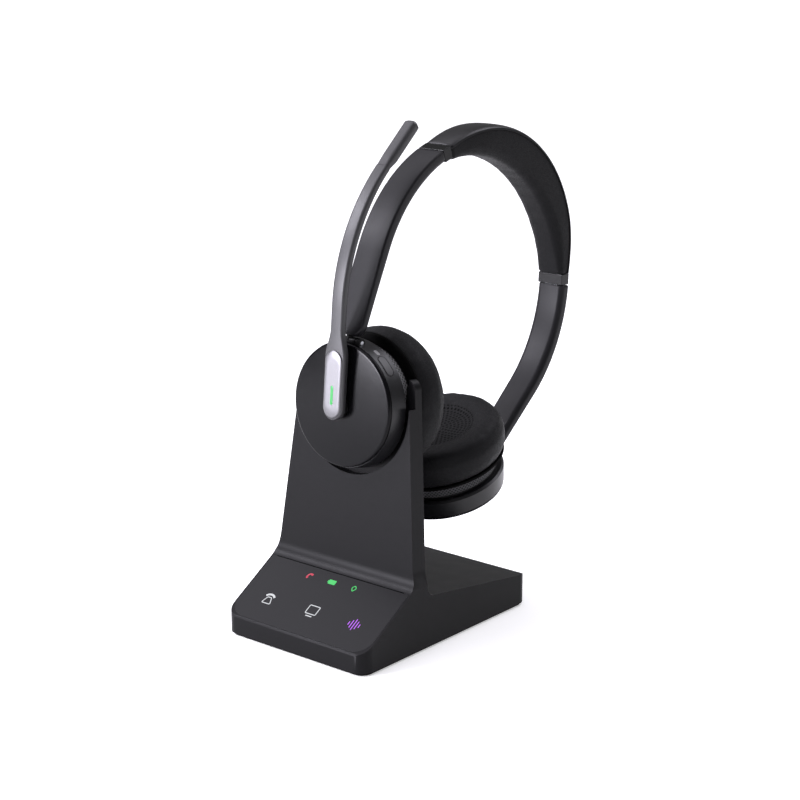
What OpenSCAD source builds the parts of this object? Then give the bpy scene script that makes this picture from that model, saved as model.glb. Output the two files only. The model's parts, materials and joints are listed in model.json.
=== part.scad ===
// Office headset resting in its desk charging stand.
// Frame: millimetres, +X right, +Y back, +Z up, origin at the middle of the stand's footprint.
// A cup is drawn in its own frame: +Y from the outer face towards the ear, +Z towards the arm.
// The headband is drawn in its own frame: origin at the centre of the arc, +Z to the crown,
// +Y to the far side.

/* [Stand] */
// Width of the stand
base_w = 80; // [80:1:84]
// Depth of the stand
base_d = 114.4; // [110:0.4:120]
// Height of the lip below the touch panel
lip_h = 9.4; // [8:0.2:10]
// Slope of the touch panel, in degrees
panel_slope = 32.1; // [30:0.1:34]
// Radius of the stand's upright corners
corner_r = 6; // [4:0.5:8]
// Thickness of the casing walls
wall = 2.2; // [1.8:0.1:2.4]

/* [Cradle] */
// Height of the cradle's centre above the desk
cradle_z = 104; // [100:0.5:110]
// Distance of the near cup's face from the middle of the stand, forwards
cradle_y = 25; // [24:0.1:26]
// Backward tilt of the upright, in degrees
tilt = 5; // [3:0.5:7]
// Height of the cradle's two horns above its centre
horn_h = 14; // [12:0.5:16]
// Clearance between the cup's neck and the cradle
cradle_gap = 0.5; // [0.4:0.1:0.8]

/* [Ear cups] */
// Radius of the outer face
face_r = 27; // [26.5:0.1:27.5]
// Radius at the back of the rim
rim_r = 28.3; // [28:0.1:28.8]
// Radius of the neck that sits in the cradle
neck_r = 25.2; // [24.5:0.1:25.4]
// Radius of the ear cushion
cushion_r = 31.6; // [31:0.1:32]
// Height of the cushion's crown above the outer face
cushion_top = 35.2; // [34:0.2:35.4]

/* [Headband] */
// Radius of the band's centre line
band_r = 69.2; // [68.5:0.1:70]
// Lean of the band's crown above the horizontal, in degrees
lean = 52.4; // [51:0.1:54]
// Width of the arms
arm_w = 14.6; // [14:0.1:15.2]
// Thickness of the arms
arm_t = 5.8; // [5.6:0.1:6.4]
// Width of the padded middle of the band
band_w = 17; // [16:0.2:18]
// Turn of the far cup above the horizontal, in degrees
far_turn = 17; // [17:0.5:20]

/* [Boom] */
// Width of the boom
boom_w = 6.4; // [6:0.1:6.8]
// Thickness of the boom
boom_t = 3.2; // [3:0.1:3.6]
// Length of the microphone tip
tip_len = 24.5; // [20:0.5:25]

/* [Hidden] */
$fn = 72;

// Upright: front plane distance from the cup face, and thickness, across the tilted plane.
slab_a = 7.6;
slab_t = 8.4;
recess_d = 4.1;
recess_r = 31;
split_a = 13.6;
notch_r = neck_r + cradle_gap + 1.1;
liner_t = 1.1;
pad_h = 1.2;
plate_t = 2.2;
tail_h = 14.2;
tail_slope = 8;
usb_z = 5.3;
plate_inset = wall + 0.6;
screw_places = [[-30, 46], [30, 46], [-30, -46], [30, -46]];
screw_d = 2.4;
screw_top = 9.2;
head_d = 4.6;
head_t = 1.6;
magnet_u = -30.4;
contact_x = 12;
contact_top = -22.8;

// Cup layers along its axis.
face_t = 1.6;
rim_a = 10;
neck_a = 16.6;
ring_a = 18.2;
ring_r = 29.8;
pin_a = 3.65;
pin_u = 27.2;
knuckle_r = 2;
pin_hole_r = 1.08;
stem_r = 1.5;
stem_in = 0.1;
hub_r = 4;
button_turn = 45;
rocker_turn = -45;

// Band angles are measured at the arc's centre, from the crown.
pad_end = 52;
cover_end = 53.5;
arm_top = 58;
arc_end = 103;
end_len = 37.8;
end_r = 5;
arc_step = 3;
chan_w = 11.2;
chan_len = 24;
pin_along = 40.1;
pin_in = 0.8;
strip_w = 9;
strip_t = 1.8;
strip_turn = 52;
strip_len = 25;
crown_r = 66.4;
crown_k = 11.6;
skin_t = 2.2;
cover_t = 6.4;
pad_r = 74.8;
pad_k = -14.8;

// Boom: a straight root, an arc round the same centre as the band, and a straight tip.
boom_a = -4.2;
trim_a = -4.8;
boom_root = 42;
boom_r = 83.6;
boom_bend = 44;
pill_top = 24;
root_top = 31;

function dir(t) = [cos(t), sin(t)];
function polar(r, t) = r * dir(t);

// The pin's place in the band's frame, as a radius and an angle from the crown.
pin_r = norm([band_r - pin_in, pin_along]);
pin_turn = arc_end + atan(pin_along / (band_r - pin_in));

near_c = [-cradle_y, cradle_z];
near_pin = near_c + pin_a * dir(-tilt) + pin_u * dir(90 - tilt);
band_c = near_pin - polar(pin_r, lean + pin_turn);
far_pin = band_c + polar(pin_r, lean - pin_turn);
far_c = far_pin - pin_a * dir(90 + far_turn) - pin_u * dir(far_turn);

// ---- Helpers ----

// One corner b between a and c, as an arc of radius r that touches both sides.
function corner(a, b, c, r, n = 8) =
  r == 0 ? [b] :
  let (u = (a - b) / norm(a - b), v = (c - b) / norm(c - b),
       half = acos(min(1, max(-1, u * v))) / 2,
       o = b + (u + v) / norm(u + v) * r / sin(half),
       p = b + u * r / tan(half), q = b + v * r / tan(half),
       s = atan2(p[1] - o[1], p[0] - o[0]), e = atan2(q[1] - o[1], q[0] - o[0]),
       d = e - s > 180 ? e - s - 360 : (e - s < -180 ? e - s + 360 : e - s))
  [for (i = [0:n]) o + r * dir(s + d * i / n)];

// A closed outline from [x, y, radius] corners.
function rounded(pts, n = 8) =
  let (m = len(pts))
  [for (i = [0:m - 1])
    let (a = pts[(i + m - 1) % m], b = pts[i], c = pts[(i + 1) % m])
    each corner([a[0], a[1]], [b[0], b[1]], [c[0], c[1]], b[2], n)];

// Where the line through p along u meets the line through q along v.
function meet(p, u, q, v) =
  let (w = q - p) p + u * (w[0] * v[1] - w[1] * v[0]) / (u[0] * v[1] - u[1] * v[0]);

module box(x, y, z) {
  translate([x[0], y[0], z[0]]) cube([x[1] - x[0], y[1] - y[0], z[1] - z[0]]);
}

// A prism along X from an outline in the YZ plane.
module side_prism(x0, x1) {
  translate([x0, 0, 0]) rotate([90, 0, 90]) linear_extrude(x1 - x0) children();
}

// A prism along Y from an outline in the XZ plane.
module front_prism(y0, y1) {
  translate([0, y1, 0]) rotate([90, 0, 0]) linear_extrude(y1 - y0) children();
}

// A solid of revolution round Y from [radius, y] points.
module spin_y(pts) {
  rotate([-90, 0, 0]) rotate_extrude($fn = 96) polygon(pts);
}

module cyl_x(x0, x1, r) {
  translate([x0, 0, 0]) rotate([0, 90, 0]) cylinder(r = r, h = x1 - x0, $fn = 48);
}

module cyl_y(y0, y1, r) {
  translate([0, y0, 0]) rotate([-90, 0, 0]) cylinder(r = r, h = y1 - y0);
}

// A rounded slot outline between two heights.
module pill_outline(w, z0, z1) {
  translate([-w / 2, z0 + w / 2]) square([w, z1 - z0 - w]);
  translate([0, z0 + w / 2]) circle(d = w);
  translate([0, z1 - w / 2]) circle(d = w);
}

// ---- Frames ----

module near_cup() {
  translate([0, near_c[0], near_c[1]]) rotate([-tilt, 0, 0]) children();
}

module far_cup() {
  translate([0, far_c[0], far_c[1]]) rotate([90 + far_turn, 0, 0]) rotate([0, 180, 0]) children();
}

module band() {
  translate([0, band_c[0], band_c[1]]) rotate([lean - 90, 0, 0]) children();
}

// The straight end of the near arm: +Y inwards, -Z towards the cup.
module near_end() {
  band() translate([0, -band_r * sin(arc_end), band_r * cos(arc_end)])
    rotate([arc_end - 90, 0, 0]) children();
}

module far_end() {
  band() mirror([0, 1, 0]) translate([0, -band_r * sin(arc_end), band_r * cos(arc_end)])
    rotate([arc_end - 90, 0, 0]) children();
}

// ---- Stand ----

front_y = -base_d / 2;
back_y = base_d / 2;
slab_front = near_c + slab_a * dir(-tilt);
slab_back = near_c + (slab_a + slab_t) * dir(-tilt);
panel_foot = meet([front_y, lip_h], dir(panel_slope), slab_front, dir(90 - tilt));
tail_foot = meet([back_y, tail_h], [-cos(tail_slope), sin(tail_slope)], slab_back, dir(90 - tilt));
slab_rise = horn_h + 10;

// Side view of the stand; grow shrinks it for the hollow inside.
module stand_side() {
  front_top = slab_front + slab_rise * dir(90 - tilt);
  back_top = slab_back + slab_rise * dir(90 - tilt);
  polygon(rounded([
    [front_y, pad_h, 0], [front_y, lip_h, 1.6], [panel_foot[0], panel_foot[1], 8],
    [front_top[0], front_top[1], 0], [back_top[0], back_top[1], 0],
    [tail_foot[0], tail_foot[1], 5], [back_y, tail_h, 3], [back_y, pad_h, 0]
  ]));
}

// Front view in the upright's tilted plane, with its flare into the base.
module stand_front() {
  half = base_w / 2;
  top_half = 31.46 - 0.1007 * horn_h;
  low = -cradle_z - 20;
  polygon(rounded([
    [-half, low, 0], [-half, -74, 0], [-38.2, -67, 14], [-top_half, horn_h, 4.6],
    [top_half, horn_h, 4.6], [38.2, -67, 14], [half, -74, 0], [half, low, 0]
  ]));
}

module round_rect(w, d, r) {
  square([w - 2 * r, d], center = true);
  square([w, d - 2 * r], center = true);
  for (x = [-1, 1], y = [-1, 1]) translate([x * (w / 2 - r), y * (d / 2 - r)]) circle(r = r);
}

module stand_plan(inset) {
  round_rect(base_w - 2 * inset, base_d - 2 * inset, corner_r - inset);
}

// The stand's whole outer form, or its hollow when inset is more than 0.
module stand_form(inset = 0) {
  intersection() {
    side_prism(-60, 60) offset(delta = -inset) stand_side();
    linear_extrude(160) stand_plan(inset);
    near_cup() front_prism(-60, 120) offset(delta = -inset) stand_front();
  }
}

// Everything in front of (or behind) the casing's parting plane.
module in_front() {
  near_cup() box([-60, 60], [-80, split_a], [-130, 60]);
}

module behind() {
  near_cup() box([-60, 60], [split_a, 140], [-150, 60]);
}

// The round seat in the upright, open upwards.
module u_cut(r, y0, y1) {
  cyl_y(y0, y1, r);
  box([-r, r], [y0, y1], [0, 40]);
}

module panel_frame() {
  translate([0, front_y, lip_h]) rotate([panel_slope, 0, 0]) children();
}

panel_len = norm(panel_foot - [front_y, lip_h]);
panel_end = panel_len - 3.6;

module panel_outline(inset) {
  w = base_w / 2 - 2.4 - inset;
  polygon(rounded([
    [-w, 2.6 + inset, 5 - inset], [w, 2.6 + inset, 5 - inset],
    [w, panel_end - inset, 1.5], [-w, panel_end - inset, 1.5]
  ]));
}

module stand_cuts() {
  near_cup() {
    u_cut(recess_r, slab_a - 1, slab_a + recess_d);
    box([-base_w / 2, base_w / 2], [slab_a - 1, slab_a + recess_d], [2, 40]);
    u_cut(notch_r, slab_a - 1, slab_a + slab_t + 1);
    translate([0, 0, magnet_u]) cyl_y(12.3, 15.2, 3);
    contact_wells(-20);
  }
  panel_frame() translate([0, 0, -1.1]) linear_extrude(4) panel_outline(0);
  panel_frame() box([-32, 32], [6, panel_end - 0.6], [-5, -1]);
  for (s = socket_places) translate([s[0], back_y - wall - 1, usb_z]) rotate([-90, 0, 0])
    linear_extrude(wall + 2) socket_outline(s[1], s[2], 0.2);
}

// Square wells under the cradle for the two charging contacts.
module contact_wells(top) {
  for (x = [-contact_x, contact_x]) box([x - 1.3, x + 1.3], [12.5, 15.1], [-31, top]);
}

// The hollow keeps clear of the cradle and of the screw bosses.
module stand_hollow() {
  difference() {
    stand_form(wall);
    near_cup() box([-60, 60], [-20, 60], [-recess_r - 6, 60]);
    for (p = screw_places) translate([p[0], p[1], 0]) cylinder(d = 6.4, h = 40);
  }
}

module stand_shell() {
  difference() {
    stand_form();
    stand_hollow();
    stand_cuts();
    linear_extrude(pad_h + plate_t) stand_plan(plate_inset - 0.2);
    for (p = screw_places) translate([p[0], p[1], 0]) cylinder(d = screw_d, h = screw_top);
  }
}

module front_casing() {
  color([0.17, 0.17, 0.18]) intersection() {
    stand_shell();
    in_front();
  }
}

module rear_casing() {
  color([0.16, 0.16, 0.17]) intersection() {
    stand_shell();
    behind();
  }
}

module bottom_plate() {
  color([0.1, 0.1, 0.11]) difference() {
    translate([0, 0, pad_h]) linear_extrude(plate_t) stand_plan(plate_inset);
    for (p = screw_places) translate([p[0], p[1], 0]) {
      cylinder(d = screw_d + 0.4, h = screw_top);
      cylinder(d = head_d + 0.4, h = pad_h + head_t + 0.1);
    }
  }
}

module base_pad() {
  color([0.07, 0.07, 0.07]) linear_extrude(pad_h) stand_plan(1.2);
}

module ballast_plate() {
  color([0.55, 0.56, 0.58]) translate([-24, 4, pad_h + plate_t]) cube([48, 34, 3]);
}

module touch_panel() {
  color([0.12, 0.12, 0.13]) panel_frame() translate([0, 0, -1.1]) difference() {
    linear_extrude(1.1) panel_outline(0.15);
    lens_shapes(4, -1);
  }
}

// Touch keys and status lamps: place across the panel, place up it, width, height.
icon_places = [
  [-24, 13.6, 8, 8], [0, 13.6, 8, 8], [24, 13.6, 8, 8],
  [-13, 30.3, 5.6, 3.2], [0, 30.3, 5.6, 3.2], [12.4, 30.3, 5.6, 3.2]
];

// A round lens keeps a hair of straight side, so that its outline is still a slot.
hair = 0.01;

module lens_shapes(h, z) {
  for (p = icon_places) translate([p[0], p[1], z]) linear_extrude(h) rotate(90)
    pill_outline(p[3], -p[2] / 2, p[2] / 2 + hair);
}

module indicator_lenses() {
  color([0.8, 0.82, 0.85]) panel_frame() lens_shapes(1.1, -1.1);
}

module touch_board() {
  color([0.05, 0.3, 0.16]) panel_frame() translate([0, 0, -3.6]) {
    translate([-28, 8, 0]) cube([56, panel_end - 8.8, 1.2]);
    for (p = icon_places) translate([p[0], p[1], 1.2]) cylinder(r = 1, h = 1.3, $fn = 24);
  }
}

module main_board() {
  color([0.05, 0.3, 0.16]) {
    translate([-25, 39, usb_z - 1.2]) cube([50, 12.5, 1.2]);
    translate([-20, 41, usb_z]) cube([12, 6, 1.2]);
    for (x = [-21, 21], y = [41, 48]) translate([x, y, pad_h + plate_t])
      cylinder(r = 1.4, h = usb_z - 1.2 - pad_h - plate_t, $fn = 32);
  }
}

// Sockets in the back wall: place across, width, height.
socket_places = [[-16, 9, 3.2], [2, 9, 3.2], [18, 11.2, 4.6]];

module socket_outline(w, h, gap = 0) {
  translate([-w / 2 - gap, -h - gap]) square([w + 2 * gap, h + 2 * gap]);
}

module rear_sockets() {
  color([0.7, 0.71, 0.73]) for (s = socket_places)
    translate([s[0], back_y - 7.5, usb_z]) rotate([-90, 0, 0]) difference() {
      linear_extrude(7) socket_outline(s[1], s[2]);
      translate([0, -0.4, 1]) linear_extrude(8) socket_outline(s[1] - 0.8, s[2] - 0.8);
    }
}

module ringer_speaker() {
  color([0.2, 0.2, 0.21]) translate([0, -22, pad_h + plate_t]) {
    cylinder(r = 12, h = 2.4);
    cylinder(r = 7, h = 4.6);
  }
}

module cradle_liner() {
  color([0.06, 0.06, 0.065]) near_cup() difference() {
    intersection() {
      u_cut(notch_r, slab_a + recess_d + 0.2, slab_a + slab_t - 0.2);
      box([-40, 40], [0, 40], [-40, horn_h - 3]);
    }
    u_cut(notch_r - liner_t, 0, 40);
    contact_wells(-20);
  }
}

module charging_pins() {
  color([0.85, 0.7, 0.35]) near_cup() {
    contact_wells(-27.6);
    for (x = [-contact_x, contact_x]) translate([x, 13.8, -30])
      cylinder(r = 0.9, h = 30 + contact_top, $fn = 32);
  }
}

module cradle_magnet() {
  color([0.62, 0.63, 0.66]) near_cup() translate([0, 0, magnet_u]) cyl_y(12.3, 15.2, 3);
}

module base_screws() {
  color([0.5, 0.5, 0.52]) for (p = screw_places) translate([p[0], p[1], pad_h + 0.1]) {
    cylinder(d = screw_d, h = screw_top - pad_h - 0.4);
    cylinder(d = head_d, h = head_t);
  }
}

// ---- Ear cups, in the cup's own frame ----

function dome(r, rise, n = 6) = [for (i = [0:n]) [r * i / n, -rise * (1 - pow(i / n, 2))]];

module face_cover(bored) {
  color([0.2, 0.2, 0.21]) difference() {
    spin_y(concat(dome(face_r - 0.8, 1.2), [[face_r, 0.7], [face_r, face_t], [0, face_t]]));
    if (bored) cyl_y(-3, 4, hub_r + 0.06);
  }
}

module radial(turn) {
  rotate([0, turn, 0]) children();
}

// A pill-shaped block along the rim, pointing away from the cup's axis.
module rim_pill(turn, len, w, z0, z1) {
  radial(turn) translate([0, 5, z0]) linear_extrude(z1 - z0) rotate(90) pill_outline(w, -len / 2, len / 2);
}

module rim_housing(keys) {
  color([0.21, 0.21, 0.22]) difference() {
    spin_y([
      [face_r - 1.7, face_t], [face_r + 0.08, face_t], [rim_r, rim_a - 0.9], [rim_r - 0.9, rim_a],
      [neck_r - 2.2, rim_a], [neck_r - 2.2, rim_a - 1.6], [rim_r - 1.9, rim_a - 1.6]
    ]);
    box([-7, 7], [0, pin_a + knuckle_r], [20, 32]);
    if (keys) {
      rim_pill(button_turn, 10.4, 4.4, 22, 32);
      rim_pill(rocker_turn, 14.4, 4.4, 22, 32);
    }
  }
}

// Two lugs that hold the hinge pin, on a foot inside the rim.
module hinge_bracket() {
  color([0.05, 0.05, 0.055]) difference() {
    union() {
      box([-7, 7], [pin_a - knuckle_r, pin_a + knuckle_r], [21, 23.8]);
      for (x = [-7, 4.2]) {
        box([x, x + 2.8], [pin_a - knuckle_r, pin_a + knuckle_r], [21, pin_u]);
        translate([0, pin_a, pin_u]) cyl_x(x, x + 2.8, knuckle_r);
      }
    }
    translate([0, pin_a, pin_u]) cyl_x(-8, 8, 1);
  }
}

module hinge_pin() {
  color([0.6, 0.61, 0.63]) translate([0, pin_a, pin_u]) cyl_x(-7, 7, 1);
}

module neck_ring() {
  color([0.08, 0.08, 0.085]) spin_y([
    [neck_r - 1.8, rim_a], [neck_r, rim_a], [neck_r, rim_a + 1], [neck_r - 0.8, rim_a + 1],
    [neck_r - 0.8, neck_a - 0.8], [neck_r, neck_a - 0.8], [neck_r, neck_a], [neck_r - 1.8, neck_a]
  ]);
}

module vent_mesh(pads) {
  color([0.16, 0.16, 0.17]) difference() {
    spin_y([
      [neck_r - 0.8, rim_a + 1], [neck_r - 0.1, rim_a + 1],
      [neck_r - 0.1, neck_a - 0.8], [neck_r - 0.8, neck_a - 0.8]
    ]);
    if (pads) pad_blocks();
  }
}

module baffle_ring() {
  color([0.1, 0.1, 0.105]) spin_y([
    [20.3, neck_a], [ring_r - 0.8, neck_a], [ring_r, neck_a + 0.6],
    [ring_r, ring_a], [20.3, ring_a]
  ]);
}

module speaker_driver() {
  color([0.35, 0.35, 0.37]) spin_y([
    [0, 10.4], [9, 10.4], [9, 12.4], [18, 12.4], [20, 15.2], [21.6, 15.2], [21.6, neck_a],
    [20.2, neck_a], [20.2, ring_a], [0, ring_a]
  ]);
}

module ear_cushion() {
  crown = cushion_top;
  color([0.13, 0.13, 0.135]) spin_y(rounded([
    [0, ring_a, 0], [cushion_r - 2.4, ring_a, 3], [cushion_r, ring_a + 6, 5],
    [cushion_r, crown, 8.6], [22, crown, 3], [15, crown - 3.4, 5], [0, crown - 3.6, 0]
  ], 5));
}

// ---- Headset electronics ----

module headset_board() {
  color([0.05, 0.3, 0.16]) near_cup() cyl_y(7.2, rim_a - 1.6, 24.4);
}

module battery() {
  color([0.45, 0.47, 0.5]) far_cup() box([-13, 13], [face_t, face_t + 5], [-17, 15]);
}

module pad_blocks() {
  for (x = [-contact_x, contact_x]) box([x - 1.8, x + 1.8], [12, 15.4], [-30, -10]);
}

module charging_pads() {
  color([0.85, 0.7, 0.35]) near_cup() intersection() {
    spin_y([[neck_r - 0.8, 12], [neck_r, 12], [neck_r, 15.4], [neck_r - 0.8, 15.4]]);
    pad_blocks();
  }
}

// ---- Yokes and arms, in the arm end's frame ----

module yoke() {
  color([0.05, 0.05, 0.055]) difference() {
    union() {
      translate([0, pin_in, -pin_along]) cyl_x(-3.9, 3.9, knuckle_r);
      translate([0, stem_in, -pin_along]) cylinder(r = stem_r, h = 12.6, $fn = 48);
    }
    translate([0, pin_in, -pin_along]) cyl_x(-8, 8, pin_hole_r);
  }
}

// Points beside the band's centre line: q outwards from it, at an angle from the crown, or at a
// distance s along the arm's straight end.
function arc_point(q, turn) = [-(band_r + q) * sin(turn), (band_r + q) * cos(turn)];
function end_point(q, s) = arc_point(q, arc_end) + s * [-cos(arc_end), -sin(arc_end)];
function arc_points(q, from, to) = [for (t = [from:arc_step:to]) arc_point(q, t)];
function backwards(list) = [for (i = [len(list) - 1:-1:0]) list[i]];

module arm_end_place() {
  translate([0, end_point(0, 0)[0], end_point(0, 0)[1]]) rotate([arc_end - 90, 0, 0]) children();
}

// The arm from the side: even thickness, with a taper along the straight end.
module arm_side() {
  half = arm_t / 2;
  polygon(concat(
    arc_points(half, arm_top, arc_end), [end_point(half, 8), end_point(half - 0.4, end_len)],
    [end_point(-half + 0.8, end_len), end_point(-half, 10)],
    backwards(arc_points(-half, arm_top, arc_end))
  ));
}

// The channel behind the arm's face, between two depths from the centre line.
module channel_side(q0, q1, from) {
  polygon(concat(
    arc_points(q0, from, arc_end), [end_point(q0, chan_len), end_point(q1, chan_len)],
    backwards(arc_points(q1, from, arc_end))
  ));
}

module arm_shell() {
  color([0.27, 0.27, 0.28]) difference() {
    side_prism(-arm_w / 2, arm_w / 2) arm_side();
    side_prism(-chan_w / 2, chan_w / 2)
      channel_side(strip_t / 2, -arm_t / 2 - 1, arm_top - arc_step);
    arm_end_place() {
      translate([0, stem_in, -end_len - 1]) cylinder(r = stem_r + 0.06, h = 11.6, $fn = 48);
      for (m = [0, 1]) mirror([m, 0, 0]) end_corner();
    }
  }
}

// What the rounding of the arm's end takes away on one side.
module end_corner() {
  x = arm_w / 2;
  front_prism(-arm_t, arm_t) polygon(concat(
    [[x + 1, -end_len - 1], [x + 1, -end_len + end_r], [x, -end_len + end_r]],
    [for (i = [1:8]) [x - end_r, -end_len + end_r] + end_r * dir(-i * 90 / 8)],
    [[x - end_r, -end_len - 1]]
  ));
}

module arm_cover() {
  color([0.22, 0.22, 0.23]) side_prism(-chan_w / 2, chan_w / 2)
    channel_side(-arm_t / 2 + 1.7, -arm_t / 2 + 0.5, arm_top);
}

// The flat strip that runs from the arm into the band's frame, along the slide.
module strip_frame() {
  translate([0, arc_point(0, arm_top)[0], arc_point(0, arm_top)[1]]) rotate([strip_turn, 0, 0])
    children();
}

module slider_strip() {
  half = strip_t / 2;
  start = arc_point(0, arm_top);
  color([0.09, 0.09, 0.095]) side_prism(-strip_w / 2, strip_w / 2) polygon(concat(
    arc_points(half, arm_top, arm_top + 5 * arc_step),
    backwards(arc_points(-half, arm_top, arm_top + 5 * arc_step)),
    [start + half * [sin(strip_turn), -cos(strip_turn)] + strip_len * dir(strip_turn),
     start - half * [sin(strip_turn), -cos(strip_turn)] + strip_len * dir(strip_turn)]
  ));
}

module slot_side() {
  strip_frame() box([-strip_w / 2 - 0.3, strip_w / 2 + 0.3], [-2, strip_len + 1],
    [-strip_t / 2 - 0.3, strip_t / 2 + 0.3]);
}

// ---- Headband, in the band's frame ----

// A region of the side view between two arcs and two angles from the crown.
module arc_band(r_out, k_out, r_in, k_in, end) {
  intersection() {
    difference() {
      translate([0, k_out]) circle(r = r_out, $fn = 240);
      translate([0, k_in]) circle(r = r_in, $fn = 240);
    }
    polygon([[0, 0], [-200 * sin(end), 200 * cos(end)], [-60, 220], [60, 220],
             [200 * sin(end), 200 * cos(end)]]);
  }
}

module band_cover() {
  color([0.14, 0.14, 0.145]) band() side_prism(-band_w / 2, band_w / 2)
    arc_band(crown_r, crown_k, crown_r - skin_t, crown_k, cover_end);
}

module both_sides() {
  children();
  mirror([0, 1, 0]) children();
}

module band_frame() {
  color([0.06, 0.06, 0.065]) band() difference() {
    side_prism(-band_w / 2 + 0.4, band_w / 2 - 0.4)
      arc_band(crown_r - skin_t, crown_k, crown_r - cover_t, crown_k, cover_end);
    both_sides() slot_side();
    side_prism(-6.2, 6.2) arc_band(band_r - 1.6, 5.6, band_r - 2.3, 5.6, 30);
  }
}

module band_spring() {
  color([0.6, 0.61, 0.63]) band() side_prism(-6, 6)
    arc_band(band_r - 1.7, 5.6, band_r - 2.2, 5.6, 29);
}

module band_pad() {
  color([0.1, 0.1, 0.105]) band() side_prism(-band_w / 2 + 0.6, band_w / 2 - 0.6)
    arc_band(crown_r - cover_t, crown_k, pad_r, pad_k, pad_end);
}

// Each collar closes the gap between the band and an arm, and has the strip's slot through it.
module band_collars() {
  color([0.03, 0.03, 0.035]) band() both_sides() difference() {
    side_prism(-arm_w / 2 + 0.4, arm_w / 2 - 0.4) polygon(concat(
      [for (t = [cover_end, arm_top - 0.25]) arc_point(arm_t / 2, t)],
      [for (t = [arm_top - 0.25, cover_end]) arc_point(-arm_t / 2, t)]
    ));
    slot_side();
  }
}

// ---- Boom, in the near cup's frame ----

module boom_section(w, t, r) {
  polygon(rounded([[-t / 2, -w / 2, r], [t / 2, -w / 2, r], [t / 2, w / 2, r], [-t / 2, w / 2, r]], 5));
}

// Frame at the end of the boom's arc, +Z along the tip.
module tip_frame() {
  translate([0, boom_a + boom_r * (1 - cos(boom_bend)), boom_root + boom_r * sin(boom_bend)])
    rotate([-boom_bend, 0, 0]) children();
}

module boom_hub() {
  color([0.16, 0.16, 0.17]) near_cup() difference() {
    union() {
      cyl_y(-2.6, -1.6, 5.4);
      cyl_y(-1.7, 3.2, hub_r);
      cyl_y(face_t + 0.2, 3.2, 5.4);
    }
    cyl_y(-4, 6, 2);
  }
}

// The root carries the trim plate; it narrows into the boom.
module root_outline() {
  polygon(rounded([
    [-5.6, -5.8, 5.5], [5.6, -5.8, 5.5], [5.6, pill_top - 2, 8], [boom_w / 2, root_top, 0],
    [-boom_w / 2, root_top, 0], [-5.6, pill_top - 2, 8]
  ]));
}

module boom_arm() {
  color([0.24, 0.24, 0.25]) near_cup() difference() {
    union() {
      front_prism(boom_a - boom_t / 2, boom_a + boom_t / 2) root_outline();
      translate([0, boom_a, root_top]) linear_extrude(boom_root - root_top) rotate(90)
        boom_section(boom_w, boom_t, 1.3);
      translate([0, boom_a + boom_r, boom_root]) rotate([0, 90, 0]) rotate([0, 0, 270 - boom_bend])
        rotate_extrude(angle = boom_bend, $fn = 180)
          translate([boom_r, 0]) boom_section(boom_w, boom_t, 1.3);
    }
    front_prism(-7, trim_a) pill_outline(9.2, -4.8, pill_top);
  }
}

module boom_cap() {
  color([0.78, 0.79, 0.8]) near_cup() difference() {
    front_prism(boom_a - boom_t / 2, trim_a) pill_outline(9.2, -4.8, pill_top);
    front_prism(-7, -4) lamp_outline();
  }
}

module lamp_outline() {
  pill_outline(1.4, 0.4, 9.6);
}

module boom_lamp() {
  color([0.1, 0.85, 0.35]) near_cup() front_prism(boom_a - boom_t / 2, trim_a) lamp_outline();
}

module boom_tip() {
  color([0.2, 0.2, 0.21]) near_cup() tip_frame() difference() {
    hull() {
      linear_extrude(1) rotate(90) boom_section(boom_w, boom_t, 1.3);
      translate([0, 0.4, 5]) linear_extrude(tip_len - 6.2) rotate(90) boom_section(6.6, 4.8, 1.8);
      translate([0, 0.4, 0]) linear_extrude(tip_len) rotate(90) boom_section(5.2, 3.4, 1.2);
    }
    translate([0, 0, tip_len - 6]) cyl_y(0.5, 6, 1.3);
  }
}

module boom_microphone() {
  color([0.5, 0.5, 0.52]) near_cup() tip_frame() translate([0, 0, tip_len - 6])
    cyl_y(0.5, 2.4, 1.3);
}

// ---- Keys on the near rim ----

module rim_key(turn, len) {
  color([0.25, 0.25, 0.26]) near_cup() intersection() {
    rim_pill(turn, len, 4, 22, 32);
    spin_y([[25.6, 2.4], [27.5, 2.4], [28.15, 7.6], [26.2, 7.6]]);
  }
}

module call_button() { rim_key(button_turn, 10); }

module volume_rocker() { rim_key(rocker_turn, 14); }

// ---- Placed sub-parts ----

module near_face_cover() { near_cup() face_cover(true); }
module near_rim_housing() { near_cup() rim_housing(true); }
module near_hinge_bracket() { near_cup() hinge_bracket(); }
module near_neck_ring() { near_cup() neck_ring(); }
module near_vent_mesh() { near_cup() vent_mesh(true); }
module near_baffle_ring() { near_cup() baffle_ring(); }
module near_speaker_driver() { near_cup() speaker_driver(); }
module near_cushion() { near_cup() ear_cushion(); }
module near_hinge_pin() { near_cup() hinge_pin(); }
module near_yoke() { near_end() yoke(); }
module near_arm_shell() { band() arm_shell(); }
module near_arm_cover() { band() arm_cover(); }
module near_slider_strip() { band() slider_strip(); }
module far_face_cover() { far_cup() face_cover(false); }
module far_rim_housing() { far_cup() rim_housing(false); }
module far_hinge_bracket() { far_cup() hinge_bracket(); }
module far_neck_ring() { far_cup() neck_ring(); }
module far_vent_mesh() { far_cup() vent_mesh(false); }
module far_baffle_ring() { far_cup() baffle_ring(); }
module far_speaker_driver() { far_cup() speaker_driver(); }
module far_cushion() { far_cup() ear_cushion(); }
module far_hinge_pin() { far_cup() hinge_pin(); }
module far_yoke() { far_end() yoke(); }
module far_arm_shell() { band() mirror([0, 1, 0]) arm_shell(); }
module far_arm_cover() { band() mirror([0, 1, 0]) arm_cover(); }
module far_slider_strip() { band() mirror([0, 1, 0]) slider_strip(); }

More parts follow.
